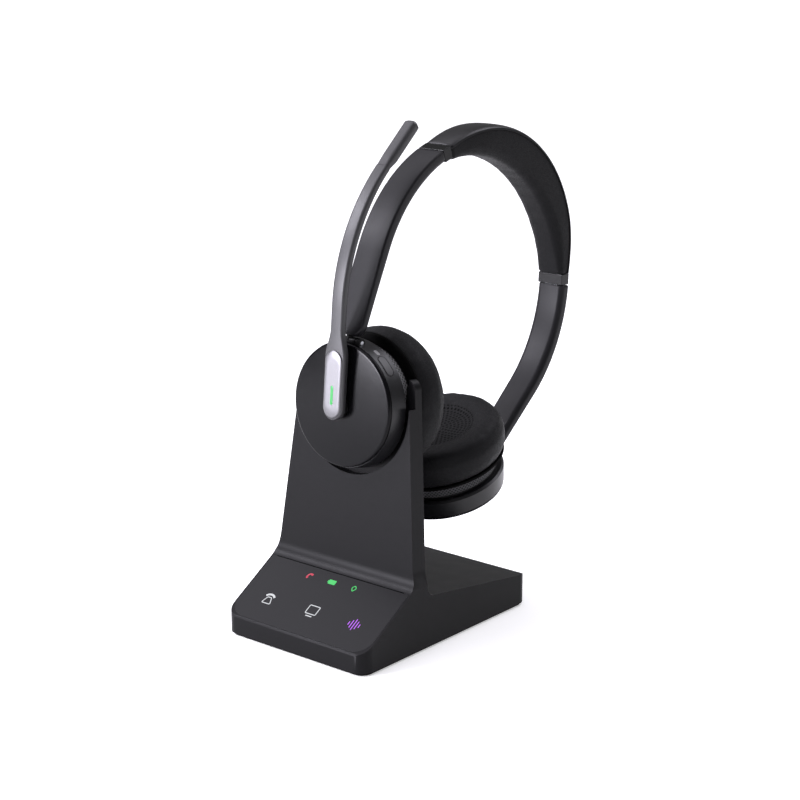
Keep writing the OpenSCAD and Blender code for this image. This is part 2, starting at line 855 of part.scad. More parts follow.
front_casing();
rear_casing();
bottom_plate();
base_pad();
ballast_plate();
touch_panel();
indicator_lenses();
touch_board();
main_board();
rear_sockets();
ringer_speaker();
cradle_liner();
charging_pins();
cradle_magnet();
base_screws();
near_face_cover();
near_rim_housing();
near_hinge_bracket();
near_neck_ring();
near_vent_mesh();
near_baffle_ring();
near_speaker_driver();
near_cushion();
headset_board();
charging_pads();
near_hinge_pin();
near_yoke();
near_arm_shell();
near_arm_cover();
near_slider_strip();
band_cover();
band_frame();
band_spring();
band_pad();
band_collars();
far_arm_shell();
far_arm_cover();
far_slider_strip();
far_yoke();
far_hinge_pin();
far_face_cover();
far_rim_housing();
far_hinge_bracket();
far_neck_ring();
far_vent_mesh();
far_baffle_ring();
far_speaker_driver();
far_cushion();
battery();
boom_hub();
boom_arm();
boom_cap();
boom_lamp();
boom_tip();
boom_microphone();
call_button();
volume_rocker();
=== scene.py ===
"""Looks of the office headset in its desk stand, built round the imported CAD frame."""

import json
import math
import random

import bmesh
import bpy
from mathutils import Matrix, Vector

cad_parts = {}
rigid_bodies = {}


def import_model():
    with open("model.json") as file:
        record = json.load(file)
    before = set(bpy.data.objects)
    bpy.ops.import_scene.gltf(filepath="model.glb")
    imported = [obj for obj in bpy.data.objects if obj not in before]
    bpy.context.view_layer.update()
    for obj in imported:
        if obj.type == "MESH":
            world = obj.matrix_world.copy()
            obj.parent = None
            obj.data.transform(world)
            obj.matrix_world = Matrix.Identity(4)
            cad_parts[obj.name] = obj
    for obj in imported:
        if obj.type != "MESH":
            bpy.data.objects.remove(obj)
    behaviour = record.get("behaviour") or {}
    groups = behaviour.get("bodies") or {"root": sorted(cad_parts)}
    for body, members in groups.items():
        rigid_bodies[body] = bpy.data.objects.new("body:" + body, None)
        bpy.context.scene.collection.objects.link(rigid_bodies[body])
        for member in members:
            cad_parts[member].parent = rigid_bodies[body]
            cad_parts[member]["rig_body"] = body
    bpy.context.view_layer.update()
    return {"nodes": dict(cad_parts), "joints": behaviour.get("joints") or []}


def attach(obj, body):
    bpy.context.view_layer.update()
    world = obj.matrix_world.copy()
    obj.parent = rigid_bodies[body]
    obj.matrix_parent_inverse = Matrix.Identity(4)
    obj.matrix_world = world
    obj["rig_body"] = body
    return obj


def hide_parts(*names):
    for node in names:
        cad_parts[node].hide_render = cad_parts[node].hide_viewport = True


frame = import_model()
MM = 0.001
SCENE = bpy.context.scene


# ---- Camera ----

CAM_LENS = 86.71  # millimetres, on a sensor of CAM_SENSOR
CAM_SENSOR = 36
CAM_PLACE = (0.52511, -0.61457, 0.32041)
CAM_TURN, CAM_RISE = 39.87, 15.19  # degrees round from the front, and up from the floor


def back_vector(azimuth, elevation):
    """From the target towards the camera, in the row frame."""
    a, e = math.radians(azimuth), math.radians(elevation)
    return Vector((math.sin(a) * math.cos(e), -math.cos(a) * math.cos(e), math.sin(e)))


def make_camera():
    data = bpy.data.cameras.new("camera")
    data.lens = CAM_LENS
    data.sensor_width = CAM_SENSOR
    data.clip_start, data.clip_end = 0.05, 20
    cam = bpy.data.objects.new("camera", data)
    cam.location = CAM_PLACE
    ahead = -back_vector(CAM_TURN, CAM_RISE)
    cam.rotation_euler = ahead.to_track_quat("-Z", "Y").to_euler()
    SCENE.collection.objects.link(cam)
    SCENE.camera = cam


# ---- Frames, from the record's joints and the CAD's own numbers in millimetres ----

JOINTS = {j["name"]: j for j in frame["joints"]}
FAR_TURN = 17  # lean of the far cup, degrees
LEAN = 52.4  # lean of the band, degrees
BAND_R = 69.2  # centre line of the arms, round the band's centre
ARC_END = 103  # where the arms run straight, degrees from the crown
PIN_ALONG, PIN_IN = 40.1, 0.8  # hinge pin: down the straight, and inside the centre line
PIN_A, PIN_U = 3.65, 27.2  # hinge pin in the cup's frame: along its axis, and up


def yz(angle):
    """Unit vector in the YZ plane, from +Y towards +Z."""
    return Vector((0, math.cos(math.radians(angle)), math.sin(math.radians(angle))))


def basis(x, y, z, origin):
    """Matrix from a part's own frame in millimetres to the row frame in metres."""
    m = Matrix((x, y, z)).transposed().to_4x4()
    return Matrix.Translation(origin) @ m @ Matrix.Scale(MM, 4)


NEAR_AXIS = Vector(JOINTS["boom_swing"]["axis"])
NEAR_UP = Vector(JOINTS["dock_lift"]["axis"])
NEAR_ORIGIN = Vector(JOINTS["boom_swing"]["pos_m"])
NEAR_CUP = basis(Vector((1, 0, 0)), NEAR_AXIS, NEAR_UP, NEAR_ORIGIN)
NEAR_PIN = Vector(JOINTS["near_tilt"]["pos_m"])
FAR_PIN = Vector(JOINTS["far_tilt"]["pos_m"])
FAR_ORIGIN = FAR_PIN - PIN_A * MM * yz(90 + FAR_TURN) - PIN_U * MM * yz(FAR_TURN)
FAR_CUP = basis(Vector((-1, 0, 0)), yz(90 + FAR_TURN), yz(FAR_TURN), FAR_ORIGIN)

PIN_TURN = ARC_END + math.degrees(math.atan(PIN_ALONG / (BAND_R - PIN_IN)))
PIN_R = math.hypot(BAND_R - PIN_IN, PIN_ALONG)
BAND_ORIGIN = NEAR_PIN - PIN_R * MM * yz(LEAN + PIN_TURN)
BAND = basis(Vector((1, 0, 0)), yz(LEAN - 90), yz(LEAN), BAND_ORIGIN)


# ---- Mesh helpers ----

EDGE_ANGLE = 35  # degrees; faces that meet at more than this have an edge
SOFT_EDGE = 50  # the same, for swept shapes whose rounding is in the mesh
CAP_INSET = 0.75  # size of a sweep's flat end within its last ring


def piece(name, bm, body, material, replaces=(), sharp=EDGE_ANGLE):
    """Turns a bmesh in the row frame into a shown piece that rides on a body."""
    mesh = bpy.data.meshes.new(name)
    bmesh.ops.recalc_face_normals(bm, faces=bm.faces)
    for face in bm.faces:
        face.smooth = True
    bm.to_mesh(mesh)
    bm.free()
    mesh.set_sharp_from_angle(angle=math.radians(sharp))
    obj = bpy.data.objects.new(name, mesh)
    SCENE.collection.objects.link(obj)
    obj.data.materials.append(material)
    if replaces:
        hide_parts(*replaces)
    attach(obj, body)
    return obj


def bevel(obj, width, segments=3):
    """A rounded edge wherever two faces meet at more than EDGE_ANGLE."""
    mod = obj.modifiers.new("edge", "BEVEL")
    mod.width = width * MM
    mod.segments = segments
    mod.limit_method = "ANGLE"
    mod.angle_limit = math.radians(EDGE_ANGLE)
    mod.harden_normals = True


def corner(v0, v1, v2, r, n):
    """Points of an arc of radius r that rounds corner v1 of an outline."""
    a, b = (v0 - v1).normalized(), (v2 - v1).normalized()
    half = a.angle(b) / 2
    if r <= 0 or half > math.pi / 2 - 1e-3:
        return [v1]
    p, q = v1 + a * r / math.tan(half), v1 + b * r / math.tan(half)
    o = v1 + (a + b).normalized() * r / math.sin(half)
    u = p - o
    span = u.angle_signed(q - o)
    return [o + Matrix.Rotation(-span * i / n, 2) @ u for i in range(n + 1)]


def rounded(points, n=6):
    """A closed outline from (x, y, radius) corners."""
    out = []
    count = len(points)
    for i, (x, y, r) in enumerate(points):
        a, c = points[i - 1], points[(i + 1) % count]
        out += corner(Vector(a[:2]), Vector((x, y)), Vector(c[:2]), r, n)
    return [tuple(p) for p in out]


def open_rounded(points, n=6):
    """An open line from (x, y, radius) corners; its two ends stay as they are."""
    out = [points[0][:2]]
    for trio in zip(points, points[1:], points[2:]):
        a, b, c = (Vector(p[:2]) for p in trio)
        out += [tuple(p) for p in corner(a, b, c, trio[1][2], n)]
    return out + [points[-1][:2]]


def strip_uv(bm, face, uvs):
    """Lays a face flat at its own (u, v) corners, in millimetres."""
    layer = bm.loops.layers.uv.verify()
    for loop, uv in zip(face.loops, uvs):
        loop[layer].uv = uv


def revolve(matrix, profile, closed=True, segments=144):
    """A solid of revolution round the frame's Y axis from (radius, y) points in millimetres."""
    bm = bmesh.new()
    rows = []
    for r, y in profile:
        if r < 1e-6:
            rows.append([bm.verts.new(matrix @ Vector((0, y, 0)))])
            continue
        ring = []
        for k in range(segments):
            t = 2 * math.pi * k / segments
            ring.append(bm.verts.new(matrix @ Vector((r * math.sin(t), y, r * math.cos(t)))))
        rows.append(ring)
    pairs = list(zip(range(len(rows) - 1), range(1, len(rows))))
    if closed:
        pairs.append((len(rows) - 1, 0))
    length = 0.0
    for i, j in pairs:
        a, b = rows[i], rows[j]
        step = math.dist(profile[i], profile[j])
        r_wide = max(profile[i][0], profile[j][0])
        for k in range(segments):
            m = (k + 1) % segments
            u0, u1 = (2 * math.pi * r_wide * s / segments for s in (k, k + 1))
            if len(a) == 1:
                face = bm.faces.new((a[0], b[m], b[k]))
                strip_uv(bm, face, ((u0, length), (u1, length + step), (u0, length + step)))
            elif len(b) == 1:
                face = bm.faces.new((a[k], a[m], b[0]))
                strip_uv(bm, face, ((u0, length), (u1, length), (u0, length + step)))
            else:
                face = bm.faces.new((a[k], a[m], b[m], b[k]))
                strip_uv(bm, face, (
                    (u0, length), (u1, length), (u1, length + step), (u0, length + step)))
        length += step
    return bm


def sweep(stations):
    """A closed tube through rings of row-frame points that all have the same count."""
    bm = bmesh.new()
    rings = [[bm.verts.new(p) for p in ring] for ring in stations]
    along = 0.0
    for a, b in zip(rings, rings[1:]):
        step = (b[0].co - a[0].co).length / MM
        around = 0.0
        for k in range(len(a)):
            m = (k + 1) % len(a)
            width = (a[m].co - a[k].co).length / MM
            face = bm.faces.new((a[k], a[m], b[m], b[k]))
            strip_uv(bm, face, (
                (along, around), (along, around + width),
                (along + step, around + width), (along + step, around)))
            around += width
        along += step
    for ring in (rings[0], rings[-1]):
        cap(bm, ring)
    return bm


def cap(bm, ring):
    """Closes a ring with a smaller ring and one flat face."""
    centre = sum((v.co for v in ring), Vector()) / len(ring)
    inner = [bm.verts.new(centre + (v.co - centre) * CAP_INSET) for v in ring]
    for k in range(len(ring)):
        m = (k + 1) % len(ring)
        bm.faces.new((ring[k], ring[m], inner[m], inner[k]))
    bm.faces.new(inner)


def from_cad(cad, name, material, width, segments=3):
    """A copy of a CAD node's skin, its flat facets merged and its edges rounded.

    The weighted normals keep the flats even beside the rounded edges.
    """
    merge_gap, flat_angle, flats_first = 0.01 * MM, math.radians(0.5), 100
    source = frame["nodes"][cad]
    bm = bmesh.new()
    bm.from_mesh(source.data)
    bmesh.ops.remove_doubles(bm, verts=bm.verts, dist=merge_gap)
    bmesh.ops.dissolve_limit(bm, angle_limit=flat_angle, verts=bm.verts, edges=bm.edges,
                             use_dissolve_boundaries=False)
    obj = piece(name, bm, source["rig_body"], material, (cad,))
    bevel(obj, width, segments)
    level = obj.modifiers.new("level", "WEIGHTED_NORMAL")
    level.mode = "FACE_AREA"
    level.weight = flats_first
    level.keep_sharp = True


# ---- Materials ----

def shader(name, color, rough, metallic=0.0, sheen=0.0, specular=0.5):
    """A new node material; its Principled sockets that stay even are set here."""
    mat = bpy.data.materials.new(name)
    mat.use_nodes = True
    bsdf = mat.node_tree.nodes["Principled BSDF"]
    bsdf.inputs["Base Color"].default_value = (*color, 1)
    bsdf.inputs["Roughness"].default_value = rough
    bsdf.inputs["Metallic"].default_value = metallic
    bsdf.inputs["Sheen Weight"].default_value = sheen
    bsdf.inputs["Sheen Roughness"].default_value = 0.5
    bsdf.inputs["Specular IOR Level"].default_value = specular
    return mat, mat.node_tree.nodes, mat.node_tree.links, bsdf


def node(nodes, kind, **values):
    """A node with some of its inputs and properties set."""
    made = nodes.new(kind)
    for key, value in values.items():
        if key in made.inputs:
            made.inputs[key].default_value = value
        else:
            setattr(made, key, value)
    return made


def noise(nodes, links, coords, scale, detail=2.0):
    """Cloudy variation from 0 to 1, with scale clouds to the metre."""
    made = node(nodes, "ShaderNodeTexNoise", Scale=scale, Detail=detail)
    links.new(coords, made.inputs["Vector"])
    return made.outputs["Fac"]


def ramp(nodes, links, source, low, high, to_low, to_high):
    """The source's range from low to high, spread over another range."""
    made = node(nodes, "ShaderNodeMapRange")
    for socket, value in zip(range(1, 5), (low, high, to_low, to_high)):
        made.inputs[socket].default_value = value
    links.new(source, made.inputs[0])
    return made.outputs[0]


def tint(nodes, links, source, color, low, high):
    """The base colour, darker and lighter by the source."""
    mix = node(nodes, "ShaderNodeMix", data_type="RGBA")
    mix.inputs[6].default_value = (*(c * low for c in color), 1)
    mix.inputs[7].default_value = (*(min(1, c * high) for c in color), 1)
    links.new(source, mix.inputs[0])
    return mix.outputs[2]


def moulded(name, color, rough, grain=0.25, vary=0.08, metallic=0.0, specular=0.5, size=0.35):
    """Moulded or painted plastic: fine grain of a size in millimetres, and a slight change of
    tone and of gloss."""
    mat, nodes, links, bsdf = shader(name, color, rough, metallic, 0.0, specular)
    coords = node(nodes, "ShaderNodeTexCoord").outputs["Object"]
    broad = noise(nodes, links, coords, 35, 3)
    fine = noise(nodes, links, coords, 1 / (size * MM), 2)
    links.new(tint(nodes, links, broad, color, 1 - vary, 1 + vary), bsdf.inputs["Base Color"])
    smudge = noise(nodes, links, coords, 140, 4)
    gloss = ramp(nodes, links, smudge, 0.3, 0.7, rough - 0.012, rough + 0.015)
    links.new(gloss, bsdf.inputs["Roughness"])
    bump = node(nodes, "ShaderNodeBump", Strength=grain, Distance=0.03 * MM)
    links.new(fine, bump.inputs["Height"])
    links.new(bump.outputs["Normal"], bsdf.inputs["Normal"])
    return mat


def calc(nodes, links, operation, *values):
    """A maths node over sockets and numbers."""
    made = node(nodes, "ShaderNodeMath", operation=operation)
    for socket, value in zip(made.inputs, values):
        if isinstance(value, (int, float)):
            socket.default_value = value
        else:
            links.new(value, socket)
    return made.outputs[0]


def perforation(nodes, links, pitch, reach):
    """1 inside small holes set in rings round the middle of a cushion, 0 elsewhere.

    The UVs are millimetres across the cushion; ring n holds 6 n of them.
    """
    def maths(operation, *values):
        return calc(nodes, links, operation, *values)

    uv = node(nodes, "ShaderNodeTexCoord").outputs["UV"]
    split = node(nodes, "ShaderNodeSeparateXYZ")
    links.new(uv, split.inputs[0])
    x, y = split.outputs[0], split.outputs[1]
    square = maths("ADD", maths("MULTIPLY", x, x), maths("MULTIPLY", y, y))
    r = maths("DIVIDE", maths("SQRT", square), pitch)
    ring = maths("FLOOR", r)
    count = maths("MULTIPLY", maths("MAXIMUM", ring, 1.0), 6.0)
    part = maths("MULTIPLY", maths("DIVIDE", maths("ARCTAN2", x, y), 2 * math.pi), count)
    part = maths("ADD", part, maths("MULTIPLY", ring, 0.5))
    across = maths("SUBTRACT", maths("FRACT", part), 0.5)
    spacing = maths("DIVIDE", maths("MULTIPLY", r, 2 * math.pi), count)
    across = maths("MULTIPLY", across, spacing)
    out = maths("SUBTRACT", maths("FRACT", r), 0.5)
    away = maths("ADD", maths("MULTIPLY", across, across), maths("MULTIPLY", out, out))
    hole = ramp(nodes, links, maths("SQRT", away), 0.24, 0.36, 1.0, 0.0)
    return maths("MULTIPLY", hole, maths("LESS_THAN", r, reach / pitch))


HOLE_PITCH, HOLE_REACH = 1.75, 18.5  # rings of holes: their spacing, and how far out they go


def leather(name, color, rough=0.55, grain=0.8, cell=0.8, holes=False):
    """Soft artificial leather: pebbled cells with creases between, and a very faint sheen."""
    mat, nodes, links, bsdf = shader(name, color, rough, 0.0, 0.02, 0.13)
    coords = node(nodes, "ShaderNodeTexCoord").outputs["Object"]
    warp = node(nodes, "ShaderNodeVectorMath", operation="MULTIPLY_ADD")
    wobble = node(nodes, "ShaderNodeTexNoise", Scale=500, Detail=2.0)
    links.new(coords, wobble.inputs["Vector"])
    links.new(wobble.outputs["Color"], warp.inputs[0])
    warp.inputs[1].default_value = (0.0005, 0.0005, 0.0005)
    links.new(coords, warp.inputs[2])
    cells = node(nodes, "ShaderNodeTexVoronoi", feature="DISTANCE_TO_EDGE",
                 Scale=1 / (cell * MM))
    links.new(warp.outputs["Vector"], cells.inputs["Vector"])
    pebble = ramp(nodes, links, cells.outputs["Distance"], 0.0, 0.25, 0.0, 1.0)
    broad = noise(nodes, links, coords, 60, 4)
    skin = tint(nodes, links, broad, color, 0.8, 1.25)
    gloss = ramp(nodes, links, pebble, 0.0, 1.0, rough + 0.18, rough - 0.05)
    if holes:
        hole = perforation(nodes, links, HOLE_PITCH, HOLE_REACH)
        mix = node(nodes, "ShaderNodeMix", data_type="RGBA")
        links.new(hole, mix.inputs[0])
        links.new(skin, mix.inputs[6])
        mix.inputs[7].default_value = (0, 0, 0, 1)
        skin = mix.outputs[2]
        gloss = calc(nodes, links, "ADD", gloss, calc(nodes, links, "MULTIPLY", hole, 0.6))
        pebble = calc(nodes, links, "SUBTRACT", pebble, calc(nodes, links, "MULTIPLY", hole, 8.0))
    links.new(skin, bsdf.inputs["Base Color"])
    links.new(gloss, bsdf.inputs["Roughness"])
    bump = node(nodes, "ShaderNodeBump", Strength=grain, Distance=0.05 * MM)
    links.new(pebble, bump.inputs["Height"])
    soft = node(nodes, "ShaderNodeBump", Strength=0.25, Distance=0.4 * MM)
    links.new(broad, soft.inputs["Height"])
    links.new(bump.outputs["Normal"], soft.inputs["Normal"])
    links.new(soft.outputs["Normal"], bsdf.inputs["Normal"])
    return mat


def woven(name, light, pitch):
    """Acoustic mesh: threads crossing on the diagonal over dark holes, laid by the piece's UVs
    in millimetres."""
    mat, nodes, links, bsdf = shader(name, light, 0.75, 0.0, 0.2, 0.3)
    uv = node(nodes, "ShaderNodeTexCoord").outputs["UV"]
    turned = node(nodes, "ShaderNodeMapping")
    turned.inputs["Rotation"].default_value = (0, 0, math.radians(45))
    turned.inputs["Scale"].default_value = (1 / pitch, 1 / pitch, 1)
    links.new(uv, turned.inputs["Vector"])
    split = node(nodes, "ShaderNodeSeparateXYZ")
    links.new(turned.outputs["Vector"], split.inputs[0])
    waves = []
    for axis in (0, 1):
        angle = calc(nodes, links, "MULTIPLY", split.outputs[axis], 2 * math.pi)
        waves.append(calc(nodes, links, "COSINE", angle))
    top = calc(nodes, links, "MAXIMUM", *waves)
    height = ramp(nodes, links, top, -0.2, 0.9, 0.0, 1.0)
    mix = node(nodes, "ShaderNodeMix", data_type="RGBA")
    mix.inputs[6].default_value = (0.002, 0.002, 0.002, 1)
    mix.inputs[7].default_value = (*light, 1)
    links.new(height, mix.inputs[0])
    links.new(mix.outputs[2], bsdf.inputs["Base Color"])
    bump = node(nodes, "ShaderNodeBump", Strength=0.9, Distance=0.12 * MM)
    links.new(height, bump.inputs["Height"])
    links.new(bump.outputs["Normal"], bsdf.inputs["Normal"])
    return mat


def metal(name, color, rough, brush=0.0, axis=(1, 1, 1)):
    """Bare or plated metal, with fine brushing along one axis if it has any."""
    mat, nodes, links, bsdf = shader(name, color, rough, 1.0)
    coords = node(nodes, "ShaderNodeTexCoord").outputs["Object"]
    stretch = node(nodes, "ShaderNodeMapping")
    stretch.inputs["Scale"].default_value = axis
    links.new(coords, stretch.inputs["Vector"])
    grain = noise(nodes, links, stretch.outputs["Vector"], 3000, 3)
    gloss = ramp(nodes, links, grain, 0.3, 0.7, rough - 0.05, rough + 0.08)
    links.new(gloss, bsdf.inputs["Roughness"])
    broad = noise(nodes, links, coords, 80, 3)
    links.new(tint(nodes, links, broad, color, 0.94, 1.04), bsdf.inputs["Base Color"])
    bump = node(nodes, "ShaderNodeBump", Strength=0.15 + brush, Distance=0.01 * MM)
    links.new(grain, bump.inputs["Height"])
    links.new(bump.outputs["Normal"], bsdf.inputs["Normal"])
    return mat


def lit(name, color, strength):
    """A lamp's window, glowing a little unevenly."""
    mat, nodes, links, bsdf = shader(name, tuple(c * 0.05 for c in color), 0.35)
    coords = node(nodes, "ShaderNodeTexCoord").outputs["Object"]
    glow = noise(nodes, links, coords, 900, 2)
    links.new(tint(nodes, links, glow, color, 0.9, 1.05), bsdf.inputs["Emission Color"])
    bsdf.inputs["Emission Strength"].default_value = strength
    return mat


def board(name):
    """Green circuit board with paler tracks."""
    green = (0.02, 0.16, 0.07)
    mat, nodes, links, bsdf = shader(name, green, 0.45)
    coords = node(nodes, "ShaderNodeTexCoord").outputs["Object"]
    tracks = node(nodes, "ShaderNodeTexBrick", Scale=260.0)
    links.new(coords, tracks.inputs["Vector"])
    paler = tint(nodes, links, tracks.outputs["Fac"], green, 1.0, 2.2)
    links.new(paler, bsdf.inputs["Base Color"])
    return mat


CASING = moulded("casing_black", (0.0036, 0.0035, 0.0042), 0.40, grain=0.06, vary=0.03,
                 specular=0.10)
PANEL_BLACK = moulded("panel_black", (0.0040, 0.0040, 0.0048), 0.34, grain=0.03, vary=0.04,
                      size=0.6, specular=0.16)
DARK = moulded("dark_plastic", (0.0022, 0.0022, 0.0025), 0.5, grain=0.1, specular=0.2)
RUBBER = moulded("black_rubber", (0.0025, 0.0025, 0.0025), 0.8, grain=0.4, size=0.5,
                 specular=0.15)
SATIN = moulded("satin_graphite", (0.0024, 0.0024, 0.0030), 0.24, grain=0.01, vary=0.02,
                size=0.25, specular=0.11)
RIM = moulded("rim_graphite", (0.0075, 0.0074, 0.0085), 0.36, grain=0.05, vary=0.04,
              size=0.25, specular=0.36)
ARM = moulded("arm_graphite", (0.0085, 0.0083, 0.0096), 0.42, grain=0.05, vary=0.05,
              size=0.25, specular=0.15)
BOOM_GREY = moulded("boom_grey", (0.030, 0.030, 0.032), 0.42, grain=0.06, vary=0.05,
                    metallic=0.1, size=0.25, specular=0.42)
ARM_INNER = moulded("arm_inner_grey", (0.0065, 0.0065, 0.0075), 0.48, grain=0.1,
                    specular=0.25)
BAND_SKIN = moulded("band_satin_black", (0.0045, 0.0044, 0.0052), 0.38, grain=0.06, vary=0.05,
                    specular=0.24)
GLOSS = moulded("gloss_black", (0.0010, 0.0010, 0.0013), 0.16, grain=0.02, specular=0.2)
LEATHER = leather("cushion_leather", (0.0040, 0.0040, 0.0047), holes=True)
PAD_SKIN = leather("band_pad_leather", (0.0030, 0.0030, 0.0036), 0.6, 0.5, 0.7)
# Painted light: the near cup's mesh gets pale threads so that it looks lit where it really sits in
# shade; the far cup's copy keeps dark threads.
MESH = woven("acoustic_mesh_painted_light", (0.30, 0.30, 0.31), 1.3)
MESH_DARK = woven("acoustic_mesh_dark", (0.06, 0.06, 0.064), 1.15)
SILVER = metal("satin_silver", (0.150, 0.149, 0.156), 0.36, 0.1, (1, 0.05, 0.05))
STEEL = metal("plain_steel", (0.55, 0.56, 0.57), 0.28, 0.2)
PIN_STEEL = metal("dark_pin_steel", (0.32, 0.33, 0.35), 0.22)
GOLD = metal("gold_plate", (0.85, 0.62, 0.25), 0.2)
BOARD = board("circuit_board")
CELL = moulded("cell_wrap", (0.12, 0.16, 0.22), 0.35)
PALE = moulded("pale_print", (0.24, 0.24, 0.245), 0.5)
# Painted shade: the baffle rings are darker than any plastic here and have almost no gloss, so the
# gap between rim and cushion looks like a shaded hole.
BAFFLE_SHADE = moulded("baffle_painted_shade", (0.0008, 0.0008, 0.0008), 0.8, grain=0.1, specular=0.06)
WHITE_LIT = lit("lamp_white", (0.75, 0.77, 0.80), 0.8)
GREEN_LIT = lit("lamp_green", (0.015, 0.62, 0.10), 0.95)
RED_LIT = lit("lamp_red", (0.55, 0.01, 0.05), 1.1)
PURPLE_LIT = lit("lamp_purple", (0.40, 0.07, 0.75), 1.5)


# ---- Stage and light ----

FLOOR_WHITE = (0.86, 0.86, 0.86)
FLOOR_HALF = 9  # metres
FLOOR_GLOW = 0.42  # keeps the floor as pale as the photo's under a soft light
SKY_POWER = 0.22
SUN_POWER, SUN_ANGLE = 2.0, 70
SUN_FROM = (-0.45, -0.1, 1)
MIDDLE = (0, 0.02, 0.1)  # where the softboxes point


def softbox(name, where, size, power):
    """A rectangular area light that points at the object."""
    data = bpy.data.lights.new(name, "AREA")
    data.shape = "RECTANGLE"
    data.size, data.size_y = size
    data.energy = power
    data.color = (0.98, 0.96, 1.06)
    light = bpy.data.objects.new(name, data)
    light.location = where
    ahead = Vector(MIDDLE) - Vector(where)
    light.rotation_euler = ahead.to_track_quat("-Z", "Y").to_euler()
    SCENE.collection.objects.link(light)


def make_stage():
    bm = bmesh.new()
    bmesh.ops.create_grid(bm, x_segments=1, y_segments=1, size=FLOOR_HALF)
    mesh = bpy.data.meshes.new("floor")
    bm.to_mesh(mesh)
    bm.free()
    floor = bpy.data.objects.new("floor", mesh)
    SCENE.collection.objects.link(floor)
    mat, nodes, links, bsdf = shader("floor_white", FLOOR_WHITE, 0.85, specular=0.1)
    coords = node(nodes, "ShaderNodeTexCoord").outputs["Object"]
    cloud = noise(nodes, links, coords, 2)
    links.new(tint(nodes, links, cloud, FLOOR_WHITE, 0.99, 1.01), bsdf.inputs["Base Color"])
    bsdf.inputs["Emission Color"].default_value = (1, 1, 1, 1)
    bsdf.inputs["Emission Strength"].default_value = FLOOR_GLOW
    mesh.materials.append(mat)
    world = bpy.data.worlds.new("studio")
    world.use_nodes = True
    sky = world.node_tree.nodes["Background"]
    sky.inputs["Color"].default_value = (1, 1, 1, 1)
    sky.inputs["Strength"].default_value = SKY_POWER
    SCENE.world = world
    SCENE.view_settings.view_transform = "Standard"
    data = bpy.data.lights.new("sky_light", "SUN")
    data.energy = SUN_POWER
    data.color = (1.0, 0.97, 1.06)
    data.angle = math.radians(SUN_ANGLE)
    sun = bpy.data.objects.new("sky_light", data)
    sun.rotation_euler = Vector(SUN_FROM).to_track_quat("Z", "Y").to_euler()
    SCENE.collection.objects.link(sun)
    softbox("front", (-0.64, -1.20, 0.34), (0.34, 0.40), 24)
    softbox("upper_left", (-0.95, -0.72, 1.05), (0.4, 0.4), 16)
    softbox("top_back", (0.3, 0.9, 1.1), (1.0, 0.6), 8)


# ---- Cups, in the cup's own frame: X across, Y inwards to the head, Z up, millimetres ----

DISC_R, DISC_BACK, DISC_DOME = 26.85, 1.6, 1.2  # satin disc: edge, back, rise of its middle
NECK_R = 25.2
RIM_A, NECK_A, RING_A = 10, 16.6, 18.2  # inner ends of the rim, the neck and the baffle ring
CUSHION_R, CUSHION_TOP = 31.6, 35.2
HUB_HOLE = 4.06


def disc(name, frame_matrix, body, cad, hole):
    """The satin face of a cup, with its low dome and rounded edge."""
    dome_end, dome_r, steps = 25.4, 26.2, 24
    radii = [hole + (dome_end - hole) * i / steps for i in range(steps + 1)]
    crown = [(r, -DISC_DOME * (1 - (r / dome_r) ** 2)) for r in radii]
    edge = open_rounded([(dome_end, crown[-1][1], 0), (26.5, 0.03, 0.9), (DISC_R, 1.0, 0.3),
                         (DISC_R, DISC_BACK, 0)], 5)[1:]
    back = [(hole, DISC_BACK)]
    bm = revolve(frame_matrix, crown + edge + back, closed=hole > 0)
    piece(name, bm, body, SATIN, (cad,))


def mesh_band(name, frame_matrix, body, cad, material):
    """The woven band behind the rim."""
    start, end = RIM_A + 1, NECK_A - 0.8
    outer = [(NECK_R - 0.12, y) for y in (start, start + 0.4, end - 0.4, end)]
    inner = [(NECK_R - 0.8, end), (NECK_R - 0.8, start)]
    piece(name, revolve(frame_matrix, outer + inner), body, material, (cad,))


# Cushion cover: base flange, side wall, seam, crown of the ring, dished centre.
CUSHION_LINE = [
    (0, RING_A, 0), (CUSHION_R - 2.6, RING_A, 0.6), (CUSHION_R - 0.5, RING_A + 4.5, 3.5),
    (CUSHION_R, RING_A + 10, 3), (CUSHION_R - 1.8, CUSHION_TOP - 2.0, 3.5),
    (27.4, CUSHION_TOP - 0.35, 2.5), (23.5, CUSHION_TOP, 3), (20.5, CUSHION_TOP - 0.8, 3),
    (16, CUSHION_TOP - 2.9, 3), (0, CUSHION_TOP - 3.4, 0)
]
SEAM_R = 28.3
CLOTH_STEPS = 20
PUFF = 1  # the furthest that the cloth run may move the cover


def bump_at(x, middle, width):
    """1 at the middle, falling smoothly to nothing over a few widths."""
    return math.exp(-((x - middle) / width) ** 2)


